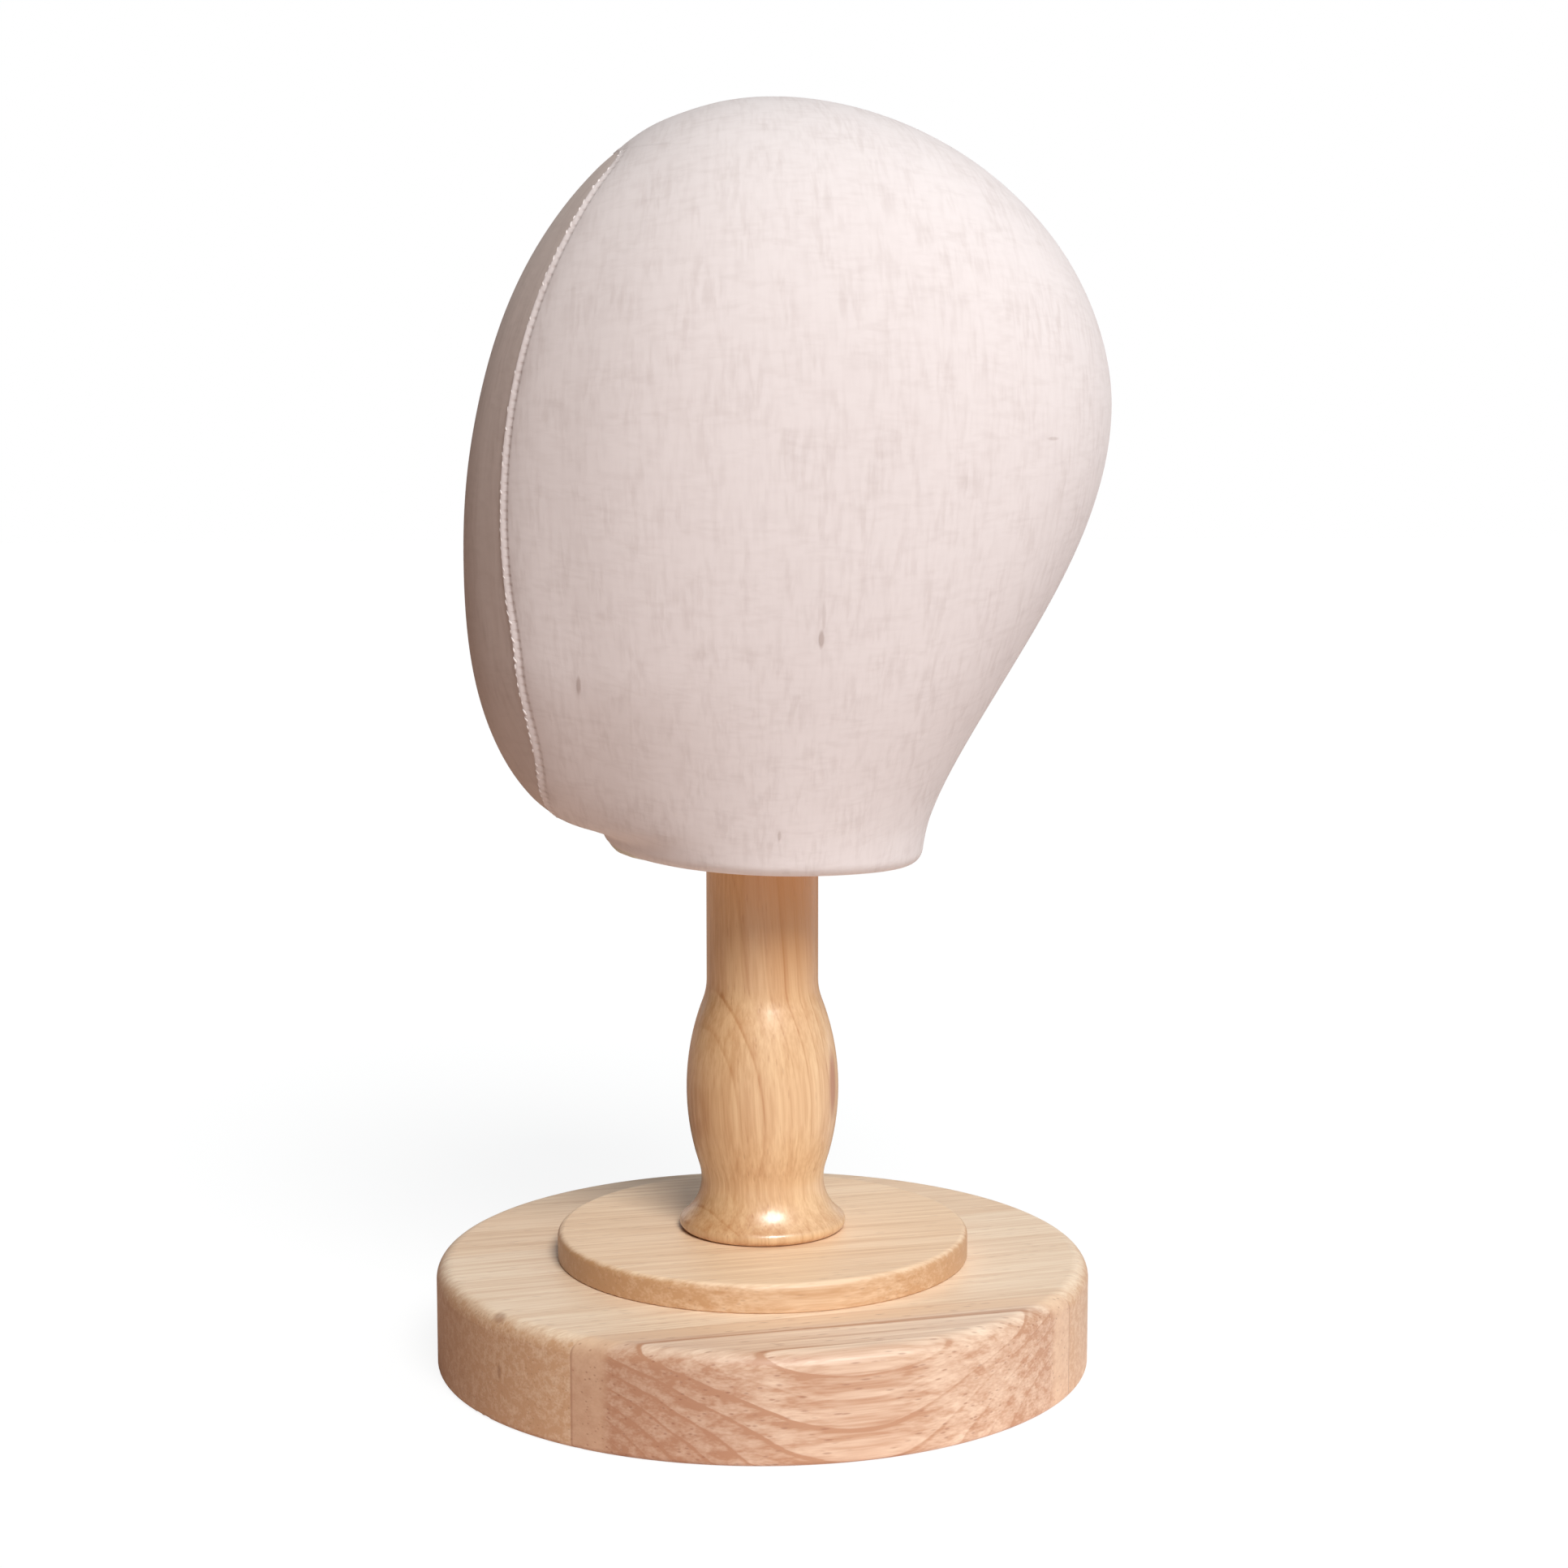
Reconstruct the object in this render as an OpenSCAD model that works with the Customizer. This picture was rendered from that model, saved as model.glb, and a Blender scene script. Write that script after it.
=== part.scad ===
// Wig stand: a linen-covered block head on a turned wooden stem and a round base.
// Millimetres, +Z up. The origin is on the stem's axis, in the plane that the base rests on.
// The face looks towards -Y, and the head's left side is towards +X.

/* [Base] */
// Diameter of the round base
base_d = 200; // [170:1:260]
// Thickness of the base
base_t = 32; // [26:0.5:45]
// Radius of the base's rounded top edge
base_top_round = 5; // [2:0.5:8]
// Radius of the base's eased bottom edge
base_foot_round = 1.5; // [0.5:0.5:3]
// Distance from the axis to the glue line of the front board
front_glue_line = 66; // [40:1:75]
// Distance from the axis to the glue line of the rear board
rear_glue_line = 22; // [18:1:75]
// Turn of the boards about the axis
board_turn = 11.5; // [-45:0.5:45]

/* [Plinth disc] */
// Diameter of the raised disc under the stem
disc_d = 126; // [90:1:150]
// Thickness of the raised disc
disc_t = 8.5; // [4:0.5:12]
// Radius of the disc's rounded top edge
disc_round = 2; // [0.5:0.25:2.5]
// Radius of the disc's eased bottom edge
disc_foot_round = 0.5; // [0.25:0.25:1]

/* [Stem] */
// Diameter of the plain upper stem, which plugs into the head
stem_d = 34; // [28:0.5:40]
// Length of stem that shows between the disc and the head
stem_show = 116; // [105:1:170]
// Depth that the stem reaches into the head
socket_depth = 70; // [40:1:90]
// Chamfer on the stem's top end
stem_chamfer = 1.5; // [0.5:0.25:3]
// Diameter of the bulb
bulb_d = 46.5; // [43:0.5:50]
// Radius of the bulb's long curve
bulb_curve = 76; // [60:1:90]
// Radius of the hollow curve from the plain upper stem to the bulb
shoulder_curve = 18; // [10:1:30]
// Diameter of the waist between bulb and foot
waist_d = 37.5; // [33:0.5:40]
// Radius of the hollow curve from waist to foot
waist_curve = 14.5; // [14:0.5:22]
// Diameter of the flared foot
foot_d = 51; // [48:0.5:58]
// Radius of the foot's rounded lip
foot_lip = 2.2; // [2:0.1:4]

/* [Head] */
// Height of the head from the neck's underside to the crown
head_h = 224; // [200:0.5:260]
// Width of the head across the temples
head_w = 156; // [140:1:170]
// Height of the widest point above the neck's underside
temple_rise = 128.5; // [110:0.5:145]
// Reach of the face in front of the axis
face_reach = 89; // [80:0.5:100]
// Height of the foremost point of the face above the neck's underside
face_rise = 86.5; // [75:0.5:105]
// Reach of the back of the head behind the axis
back_reach = 104; // [92:0.5:115]
// Height of the rearmost point above the neck's underside
back_rise = 134.5; // [115:0.5:150]
// Distance of the crown behind the axis
crown_back = 3.5; // [0:0.5:10]
// Distance in front of the axis where the chin turns into the neck
chin_root = 43.5; // [38:0.5:46]
// Height of the chin's underside above the neck's underside
chin_rise = 7.5; // [6.5:0.5:14]
// Diameter of the neck
neck_d = 96.5; // [84:0.5:110]
// Radius of the neck's rounded lower edge
neck_round = 5; // [3:0.5:6.5]

/* [Linen] */
// Thickness of the linen with its backing
linen_t = 1.2; // [0.8:0.1:2]
// Width of the face panel
face_panel_w = 85; // [60:1:90]
// Height of the face panel's widest point above the neck's underside
face_panel_rise = 75; // [60:0.5:130]
// Height of the face panel's lower end above the neck's underside
face_panel_foot = 11.5; // [10:0.5:30]
// Height of the face panel's upper end above the neck's underside
face_panel_top = 207.5; // [180:0.5:215]
// Gap between the edges of two panels where they are sewn
seam_gap = 0.3; // [0.2:0.05:0.6]

/* [Bush] */
// Wall of the socket liner in the neck
bush_wall = 3; // [2:0.25:6]
// Thickness of the liner's closed end, which rests on the stem
bush_end = 4; // [2:0.5:8]
// Radial clearance between the stem and the liner
stem_clear = 0.06; // [0.03:0.01:0.09]
// Radial clearance between the liner and the foam
bush_clear = 0.05; // [0.03:0.01:0.09]

/* [Fixing] */
// Diameter of the fixing bolt
bolt_d = 8; // [6:0.5:10]
// Diameter of the bolt's round head
bolt_head_d = 16; // [13:0.5:18]
// Thickness of the bolt's head
bolt_head_t = 3.5; // [2.5:0.25:5]
// Width across the flats of the hexagon key in the bolt's head
bolt_key = 5; // [4:0.5:6]
// Outer diameter of the washer
washer_d = 22; // [19:0.5:24]
// Thickness of the washer
washer_t = 1.6; // [1:0.1:2.5]
// Depth of the counterbore under the base
counterbore_depth = 9; // [8:0.5:12]
// Diameter of the threaded insert in the stem
insert_d = 12.5; // [12:0.5:16]
// Length of the threaded insert
insert_len = 18; // [12:0.5:25]
// Clearance on the radius of the holes that the bolt passes
bolt_clear = 0.4; // [0.2:0.05:0.8]
// Clearance on the radius inside the insert's bore, where the thread is
thread_clear = 0.05; // [0.02:0.01:0.08]

/* [Hidden] */
$fn = 96;
disc_z = base_t;
stem_z = disc_z + disc_t;
neck_z = stem_z + stem_show;
crown_z = neck_z + head_h;
stem_top_z = neck_z + socket_depth;
stem_r = stem_d / 2;
neck_r = neck_d / 2;

// Gap that keeps the foam clear of the linen, whose facets lie on other lines
core_gap = 0.5;
// Gap round the stem in the hole of the neck patch
patch_gap = 0.5;
// Gap between the neck patch and the lower end of the bush
bush_gap = 0.3;

// Squareness of the head's curves: 2 is an ellipse, and more is squarer
brow_square = 2.12;
nape_square = 1.9;
chin_square = 2.26;
temple_square = 2.2;
ring_square = 2.2;
panel_top_square = 3.65;
panel_foot_square = 1.81;
// Ease of the hollow curves under the back of the head and the cheeks
nape_ease = 0.847;
cheek_ease = 0.65;
// Share by which a ring of the head is narrower in front than behind
face_taper = 0.07;
// Height over which the round neck grows into the head's own ring
neck_blend = 60;
// Power by which the chin fades from the front of a low ring to its sides
chin_fade = 2;

// Rows and columns of the head's grid
neck_rows = 4;
chin_rows = 5;
panel_rows = 18;
crown_rows = 6;
side_columns = 15;
face_columns = 10;
core_columns = 28;

// Curves

// Height of a superellipse's quarter at t, from 1 at t = 0 to 0 at t = 1
function quarter(t, square) = pow(max(0, 1 - pow(min(1, max(0, t)), square)), 1 / square);

// An S-curve from 0 to 1, steeper at its start when ease is below 1
function s_curve(t, ease) =
    let (u = pow(min(1, max(0, t)), ease))
    u * u * (3 - 2 * u);

// A power that keeps the sign
function signed_pow(v, p) = sign(v) * pow(abs(v), p);

// The head's outline, as reaches from the axis at a height z

// The neck's radius, drawn in by the round of its lower edge
function neck_reach(z) =
    let (below = max(0, neck_z + neck_round - z))
    neck_r - neck_round + sqrt(max(0, neck_round * neck_round - below * below));

face_z = neck_z + face_rise;
back_z = neck_z + back_rise;
temple_z = neck_z + temple_rise;
chin_z = neck_z + chin_rise;

function front_reach(z) =
    z > face_z
        ? (face_reach + crown_back) * quarter((z - face_z) / (crown_z - face_z), brow_square) - crown_back
        : z > chin_z
            ? max(
                neck_reach(z),
                chin_root + (face_reach - chin_root) * quarter((face_z - z) / (face_z - chin_z), chin_square)
            )
            : neck_reach(z);

function rear_reach(z) =
    z > back_z
        ? (back_reach - crown_back) * quarter((z - back_z) / (crown_z - back_z), nape_square) + crown_back
        : neck_reach(z) + (back_reach - neck_r) * s_curve((z - neck_z) / back_rise, nape_ease);

function side_reach(z) =
    z > temple_z
        ? head_w / 2 * quarter((z - temple_z) / (crown_z - temple_z), temple_square)
        : neck_reach(z) + (head_w / 2 - neck_r) * s_curve((z - neck_z) / temple_rise, cheek_ease);

// Place of a ring's widest point behind the axis
function ring_back(z) = crown_back * s_curve((z - temple_z) / (crown_z - temple_z), 1);

// Reach of the surface in one direction, and the angle of its outward normal above the level
function reach(angle, z) =
    side_reach(z) * pow(sin(angle), 2)
    + (cos(angle) > 0 ? front_reach(z) : rear_reach(z)) * pow(cos(angle), 2);

slope_step = 0.05;
function lean(angle, z) =
    z <= neck_z
        ? -90
        : z >= crown_z
            ? 90
            : let (
                lower = max(neck_z, z - slope_step),
                upper = min(crown_z, z + slope_step)
            )
            atan2(reach(angle, lower) - reach(angle, upper), upper - lower);

// A point of the head's surface, set in by a depth along its normal.
// The angle is counted from the face towards the left side.
function head_point(angle, z, depth) =
    let (
        tilt = lean(angle, z),
        inward = depth * cos(tilt),
        front = front_reach(z) - inward,
        rear = rear_reach(z) - inward,
        side = max(0, side_reach(z) - inward),
        grown = s_curve((z - neck_z) / neck_blend, 1),
        power = 2 / (2 + (ring_square - 2) * grown),
        across = signed_pow(sin(angle), power),
        along = signed_pow(cos(angle), power),
        back = ring_back(z),
        neck = neck_reach(z) - inward,
        chin = pow(max(0, along), chin_fade * (1 - grown)),
        half = along > 0 ? neck + (front + back - neck) * chin : rear - back
    )
    [
        side * across * (1 - face_taper * grown * along),
        back - half * along,
        z - depth * sin(tilt)
    ];

// The face panel's outline, as the angle of its edge at a height

panel_foot_z = neck_z + face_panel_foot;
panel_top_z = neck_z + face_panel_top;
panel_wide_z = neck_z + face_panel_rise;
panel_mid_z = (panel_foot_z + panel_top_z) / 2;
panel_half_h = (panel_top_z - panel_foot_z) / 2;

function seam_angle(z, gap) =
    let (
        swell = z > panel_wide_z
            ? quarter((z - panel_wide_z) / (panel_top_z - panel_wide_z), panel_top_square)
            : quarter((panel_wide_z - z) / (panel_wide_z - panel_foot_z), panel_foot_square),
        half_w = face_panel_w / 2 * swell,
        share = min(1, max(0, half_w - gap) / side_reach(z))
    )
    asin(pow(share, ring_square / 2));

// Heights of the grid's rows, closer together where the surface turns

neck_heights = [for (i = [0 : neck_rows]) neck_z + neck_round * (1 - cos(90 * i / neck_rows))];
chin_start_z = neck_z + neck_round;
chin_heights = [
    for (i = [1 : chin_rows])
        chin_start_z + (panel_foot_z - chin_start_z) * (1 - cos(90 * i / chin_rows))
];
panel_heights = [for (i = [1 : panel_rows - 1]) panel_mid_z - panel_half_h * cos(180 * i / panel_rows)];
crown_heights = [
    for (i = [0 : crown_rows - 1])
        panel_top_z + (crown_z - panel_top_z) * sin(90 * i / crown_rows)
];
head_heights = concat(neck_heights, chin_heights, panel_heights, crown_heights);

// Rows of points of the three grids. A row of one point is a tip.

function side_rows(depth) = concat(
    [
        for (z = head_heights)
            let (start = seam_angle(z, 0))
            [
                for (c = [0 : side_columns])
                    head_point(start + (180 - start) * c / side_columns, z, depth)
            ]
    ],
    [[head_point(0, crown_z, depth)]]
);

function face_rows(depth) = concat(
    [[head_point(0, panel_foot_z + seam_gap, depth)]],
    [
        for (z = panel_heights)
            let (edge = seam_angle(z, seam_gap))
            [for (c = [0 : face_columns]) head_point(edge * (2 * c / face_columns - 1), z, depth)]
    ],
    [[head_point(0, panel_top_z - seam_gap, depth)]]
);

function core_rows(depth) = concat(
    [
        for (z = head_heights)
            [for (c = [0 : core_columns - 1]) head_point(360 * c / core_columns, z, depth)]
    ],
    [[head_point(0, crown_z, depth)]]
);

// Solids from rows of points

function flat(rows) = [for (row = rows) for (p = row) p];

// Place of a row's first point in the flat list
function row_start(rows, r) = r == 0 ? 0 : row_start(rows, r - 1) + len(rows[r - 1]);

// Triangles of the strip between rows r and r + 1, where either row may be a tip
function strip(rows, r, first, closed) =
    let (
        low = first + row_start(rows, r),
        high = first + row_start(rows, r + 1),
        n_low = len(rows[r]),
        n_high = len(rows[r + 1]),
        n = max(n_low, n_high),
        last = closed ? n - 1 : n - 2
    )
    [
        for (c = [0 : last])
            let (d = (c + 1) % n)
            each n_low == 1
                ? [[low, high + c, high + d]]
                : n_high == 1
                    ? [[low + c, high, low + d]]
                    : [[low + c, high + c, high + d], [low + c, high + d, low + d]]
    ];

function skin(rows, first, closed) =
    [for (r = [0 : len(rows) - 2]) each strip(rows, r, first, closed)];

function turned(faces) = [for (f = faces) [f[2], f[1], f[0]]];

// Walls that join the edges of an outer and an inner grid of the same rows
function rim_walls(rows, inner) =
    let (
        ends = [for (r = [0 : len(rows) - 1]) row_start(rows, r)],
        last = len(rows) - 1
    )
    concat(
        [
            for (r = [0 : last - 1])
                let (
                    a = ends[r],
                    b = ends[r + 1],
                    c = a + len(rows[r]) - 1,
                    d = b + len(rows[r + 1]) - 1
                )
                each [
                    [a, a + inner, b + inner],
                    [a, b + inner, b],
                    [c, d + inner, c + inner],
                    [c, d, d + inner]
                ]
        ],
        len(rows[0]) == 1
            ? []
            : [
                for (c = [0 : len(rows[0]) - 2])
                    each [[c, c + 1, c + 1 + inner], [c, c + 1 + inner, c + inner]]
            ]
    );

// A sheet of even thickness between an outer and an inner grid
module sheet(outer_rows, inner_rows) {
    outer = flat(outer_rows);
    count = len(outer);
    polyhedron(
        points = concat(outer, flat(inner_rows)),
        faces = concat(
            skin(outer_rows, 0, false),
            turned(skin(inner_rows, count, false)),
            rim_walls(outer_rows, count)
        )
    );
}

// A solid inside closed rows, flat below and with a tip on top
module block(rows) {
    foot = [for (c = [0 : len(rows[0]) - 1]) c];
    polyhedron(points = flat(rows), faces = concat([foot], skin(rows, 0, true)));
}

// Base

// Outline of a turned disc with rounded edges, to the right of its axis
module disc_outline(d, t, top_round, foot_round) {
    difference() {
        square([d / 2, t]);
        edge_waste(d / 2 - top_round, t - top_round, top_round, 0);
        edge_waste(d / 2 - foot_round, foot_round, foot_round, 270);
    }
}

// What a rounded edge takes off a square corner
module edge_waste(x, z, r, turn) {
    translate([x, z])
        rotate(turn)
            difference() {
                square(r + 1);
                circle(r);
            }
}

module turned_base() {
    difference() {
        rotate_extrude()
            disc_outline(base_d, base_t, base_top_round, base_foot_round);
        translate([0, 0, -1])
            cylinder(d = counterbore_d, h = counterbore_depth + 1);
        translate([0, 0, -1])
            cylinder(r = bolt_d / 2 + bolt_clear, h = base_t + 2);
    }
}

// The part of the turned base between two lines across the grain
module base_board(from, to) {
    intersection() {
        turned_base();
        rotate(board_turn)
            translate([from, -base_d, -1])
                cube([to - from, 2 * base_d, base_t + 2]);
    }
}

module base_front_board() {
    color("#d9a583")
        base_board(front_glue_line, base_d);
}

module base_middle_board() {
    color("#e3ba8c")
        base_board(-rear_glue_line, front_glue_line);
}

module base_rear_board() {
    color("#dfb588")
        base_board(-base_d, -rear_glue_line);
}

module plinth_disc() {
    color("#e4bb90")
        difference() {
            translate([0, 0, disc_z])
                rotate_extrude()
                    disc_outline(disc_d, disc_t, disc_round, disc_foot_round);
            translate([0, 0, disc_z - 1])
                cylinder(r = bolt_d / 2 + bolt_clear, h = disc_t + 2);
        }
}

// Stem

lip_r = foot_d / 2 - foot_lip;
lip_z = stem_z + foot_lip;
waist_centre = waist_d / 2 + waist_curve;
bulb_centre = bulb_d / 2 - bulb_curve;
shoulder_centre = stem_r + shoulder_curve;
// Lip, hollow waist, bulb and hollow shoulder are arcs that touch, on the lines between their centres
lip_span = foot_lip + waist_curve;
waist_z = lip_z + sqrt(pow(lip_span, 2) - pow(waist_centre - lip_r, 2));
bulb_span = waist_curve + bulb_curve;
bulb_z = waist_z + sqrt(pow(bulb_span, 2) - pow(waist_centre - bulb_centre, 2));
lip_touch_r = lip_r + (waist_centre - lip_r) * foot_lip / lip_span;
bulb_touch_z = waist_z + (bulb_z - waist_z) * waist_curve / bulb_span;
shoulder_span = bulb_curve + shoulder_curve;
shoulder_z = bulb_z + sqrt(pow(shoulder_span, 2) - pow(shoulder_centre - bulb_centre, 2));
bulb_share = bulb_curve / shoulder_span;
bulb_top_r = bulb_centre + (shoulder_centre - bulb_centre) * bulb_share;
bulb_top_z = bulb_z + (shoulder_z - bulb_z) * bulb_share;
chamfer_z = stem_top_z - stem_chamfer;

module stem_outline() {
    polygon([
        [0, bulb_z],
        [stem_r, bulb_z],
        [stem_r, chamfer_z],
        [stem_r - stem_chamfer, stem_top_z],
        [0, stem_top_z]
    ]);
    difference() {
        translate([0, bulb_top_z])
            square([bulb_top_r, shoulder_z - bulb_top_z]);
        translate([shoulder_centre, shoulder_z])
            circle(shoulder_curve);
    }
    intersection() {
        translate([bulb_centre, bulb_z])
            circle(bulb_curve);
        translate([0, bulb_touch_z])
            square([bulb_d, bulb_top_z - bulb_touch_z]);
    }
    difference() {
        translate([0, lip_z])
            square([lip_touch_r, bulb_touch_z - lip_z]);
        translate([waist_centre, waist_z])
            circle(waist_curve);
    }
    translate([lip_r, lip_z])
        circle(foot_lip);
    translate([0, stem_z])
        square([lip_r, foot_lip]);
}

module stem() {
    color("#d9a86c")
        difference() {
            rotate_extrude()
                stem_outline();
            translate([0, 0, stem_z - 1])
                cylinder(d = insert_d, h = insert_len + 1);
            translate([0, 0, stem_z - 1])
                cylinder(r = bolt_d / 2 + bolt_clear, h = insert_len + bolt_tip_room + 1);
        }
}

// Fixing

// Room in the stem beyond the insert for the bolt's tip
bolt_tip_room = 4;
// Gap round the washer in the counterbore
washer_gap = 1;
counterbore_d = washer_d + 2 * washer_gap;
washer_z = counterbore_depth - washer_t;
bolt_tip_z = stem_z + insert_len + bolt_tip_room / 2;

module stem_insert() {
    color("#c8a951")
        translate([0, 0, stem_z])
            difference() {
                cylinder(d = insert_d, h = insert_len);
                translate([0, 0, -1])
                    cylinder(r = bolt_d / 2 + thread_clear, h = insert_len + 2);
            }
}

module bolt_washer() {
    color("#b9bcc0")
        translate([0, 0, washer_z])
            difference() {
                cylinder(d = washer_d, h = washer_t);
                translate([0, 0, -1])
                    cylinder(r = bolt_d / 2 + bolt_clear, h = washer_t + 2);
            }
}

module base_bolt() {
    key_depth = bolt_head_t - 1;
    color("#a9adb2")
        difference() {
            union() {
                translate([0, 0, washer_z - bolt_head_t])
                    cylinder(d = bolt_head_d, h = bolt_head_t);
                translate([0, 0, washer_z])
                    cylinder(d = bolt_d, h = bolt_tip_z - washer_z);
            }
            translate([0, 0, washer_z - bolt_head_t - 1])
                cylinder(d = bolt_key / cos(30), h = key_depth + 1, $fn = 6);
        }
}

// Head

bush_z = neck_z + linen_t + bush_gap;
bush_inner_r = stem_r + stem_clear;
bush_outer_r = bush_inner_r + bush_wall;
bush_top_z = stem_top_z + bush_end;

module neck_bush() {
    color("#c9b79a")
        difference() {
            translate([0, 0, bush_z])
                cylinder(r = bush_outer_r, h = bush_top_z - bush_z);
            translate([0, 0, bush_z - 1])
                cylinder(r = bush_inner_r, h = stem_top_z - bush_z + 1);
        }
}

module head_core() {
    color("#efe9dc")
        difference() {
            block(core_rows(linen_t + core_gap));
            translate([0, 0, neck_z])
                cylinder(r = bush_outer_r + bush_clear, h = bush_top_z - neck_z);
        }
}

module face_panel() {
    color("#b3a396")
        sheet(face_rows(0), face_rows(linen_t));
}

// The left panel stands clear of the plane where it is sewn to its twin
module side_panel() {
    translate([seam_gap / 2, 0, 0])
        sheet(side_rows(0), side_rows(linen_t));
}

module side_panel_left() {
    color("#e3d5d2")
        side_panel();
}

module side_panel_right() {
    color("#e0d2cf")
        mirror([1, 0, 0])
            side_panel();
}

module neck_patch() {
    color("#ddcfca")
        translate([0, 0, neck_z])
            difference() {
                cylinder(r = neck_r - neck_round - seam_gap, h = linen_t);
                translate([0, 0, -1])
                    cylinder(r = stem_r + patch_gap, h = linen_t + 2);
            }
}

base_front_board();
base_middle_board();
base_rear_board();
plinth_disc();
stem();
stem_insert();
base_bolt();
bolt_washer();
neck_bush();
head_core();
face_panel();
side_panel_left();
side_panel_right();
neck_patch();
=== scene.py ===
# Wig stand: a linen-covered block head that turns on a wooden stem with a round base.
# Metres, in the frame of the solids: +Z up, the face towards -Y, the head's left side towards +X.
import math
import random

import bmesh
import bpy
from mathutils import Matrix, Vector, kdtree, noise


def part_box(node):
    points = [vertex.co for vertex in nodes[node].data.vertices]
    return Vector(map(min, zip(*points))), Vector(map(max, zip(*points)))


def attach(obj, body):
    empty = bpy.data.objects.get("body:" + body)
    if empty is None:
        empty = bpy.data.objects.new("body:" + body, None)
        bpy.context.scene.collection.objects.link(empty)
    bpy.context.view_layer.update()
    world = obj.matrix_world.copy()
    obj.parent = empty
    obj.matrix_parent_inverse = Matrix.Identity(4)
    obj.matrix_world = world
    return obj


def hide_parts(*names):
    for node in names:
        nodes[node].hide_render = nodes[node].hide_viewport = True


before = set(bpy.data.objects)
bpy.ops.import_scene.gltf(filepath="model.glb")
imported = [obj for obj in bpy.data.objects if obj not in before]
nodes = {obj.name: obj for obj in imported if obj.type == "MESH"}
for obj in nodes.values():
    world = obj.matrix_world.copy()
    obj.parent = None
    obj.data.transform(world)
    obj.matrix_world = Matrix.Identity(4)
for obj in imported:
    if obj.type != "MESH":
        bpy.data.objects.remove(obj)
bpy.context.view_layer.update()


# Base: three boards of pale rubberwood, glued edge to edge with the grain across the view.
# They are turned to one round base with an eased top edge, and finished with a satin lacquer.
# The front board is pinker, was cut near the pith, and keeps a pale strip of sapwood at its glue line.
board_turn = math.radians(11.5)
front_glue_line = 0.066
sapwood_w = 0.009


def put(tree, kind, inputs=None, **options):
    """Adds a node with its options, and sets or links its inputs."""
    made = tree.nodes.new(kind)
    for name, value in options.items():
        setattr(made, name, value)
    for socket, value in (inputs or {}).items():
        if isinstance(value, bpy.types.NodeSocket):
            tree.links.new(value, made.inputs[socket])
        else:
            made.inputs[socket].default_value = value
    return made


def reckon(tree, operation, a, b=0.0, c=0.0):
    """One sum on values."""
    return put(tree, "ShaderNodeMath", {0: a, 1: b, 2: c}, operation=operation).outputs[0]


def vectors(tree, operation, a, b=(0.0, 0.0, 0.0)):
    """One sum on vectors that gives a vector."""
    return put(tree, "ShaderNodeVectorMath", {0: a, 1: b}, operation=operation).outputs[0]


def measure(tree, operation, a, b=(0.0, 0.0, 0.0)):
    """One sum on vectors that gives a value."""
    return put(tree, "ShaderNodeVectorMath", {0: a, 1: b}, operation=operation).outputs["Value"]


def ramp(tree, value, low, high, start=0.0, end=1.0):
    """A value that eases from start, where it is low, to end, where it is high."""
    inputs = {"Value": value, "From Min": low, "From Max": high, "To Min": start, "To Max": end}
    return put(tree, "ShaderNodeMapRange", inputs, interpolation_type="SMOOTHSTEP").outputs[0]


def mixed(tree, share, first, second):
    """Two colours mixed."""
    inputs = {0: share, 6: first, 7: second}
    return put(tree, "ShaderNodeMix", inputs, data_type="RGBA").outputs[2]


def clouds(tree, place, stretch, detail=2.0):
    """Noise with its spots drawn out, where stretch is the number of spots in a metre each way."""
    scaled = vectors(tree, "MULTIPLY", place, stretch)
    return put(tree, "ShaderNodeTexNoise", {"Vector": scaled, "Scale": 1.0, "Detail": detail}).outputs


def streaks(tree, place, stretch):
    """Drawn-out noise as a value from 0 to 1."""
    return clouds(tree, place, stretch)[0]


def drift(tree, place, stretch, detail):
    """Drawn-out noise as an offset of up to a half each way."""
    return vectors(tree, "SUBTRACT", clouds(tree, place, stretch, detail)["Color"], (0.5, 0.5, 0.5))


def spot(tree, place, centre, reach):
    """A soft oval spot, 1 as far as its core, with its reach each way."""
    core = 0.35
    offset = vectors(tree, "DIVIDE", vectors(tree, "SUBTRACT", place, centre), reach)
    return ramp(tree, measure(tree, "LENGTH", offset), core, 1.0, 1.0, 0.0)


def new_group(name, inputs, outputs):
    """An empty group of shader nodes with its sockets, and what comes in and goes out."""
    tree = bpy.data.node_groups.new(name, "ShaderNodeTree")
    for socket, kind in inputs.items():
        tree.interface.new_socket(socket, in_out="INPUT", socket_type=kind)
    for socket in outputs:
        tree.interface.new_socket(socket, in_out="OUTPUT", socket_type="NodeSocketFloat")
    return tree, put(tree, "NodeGroupInput").outputs, put(tree, "NodeGroupOutput").inputs


def new_material(name):
    """A material with its shader, and the place on the piece."""
    material = bpy.data.materials.new(name)
    material.use_nodes = True
    tree = material.node_tree
    place = put(tree, "ShaderNodeTexCoord").outputs["Object"]
    return material, tree, tree.nodes["Principled BSDF"], place


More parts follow.
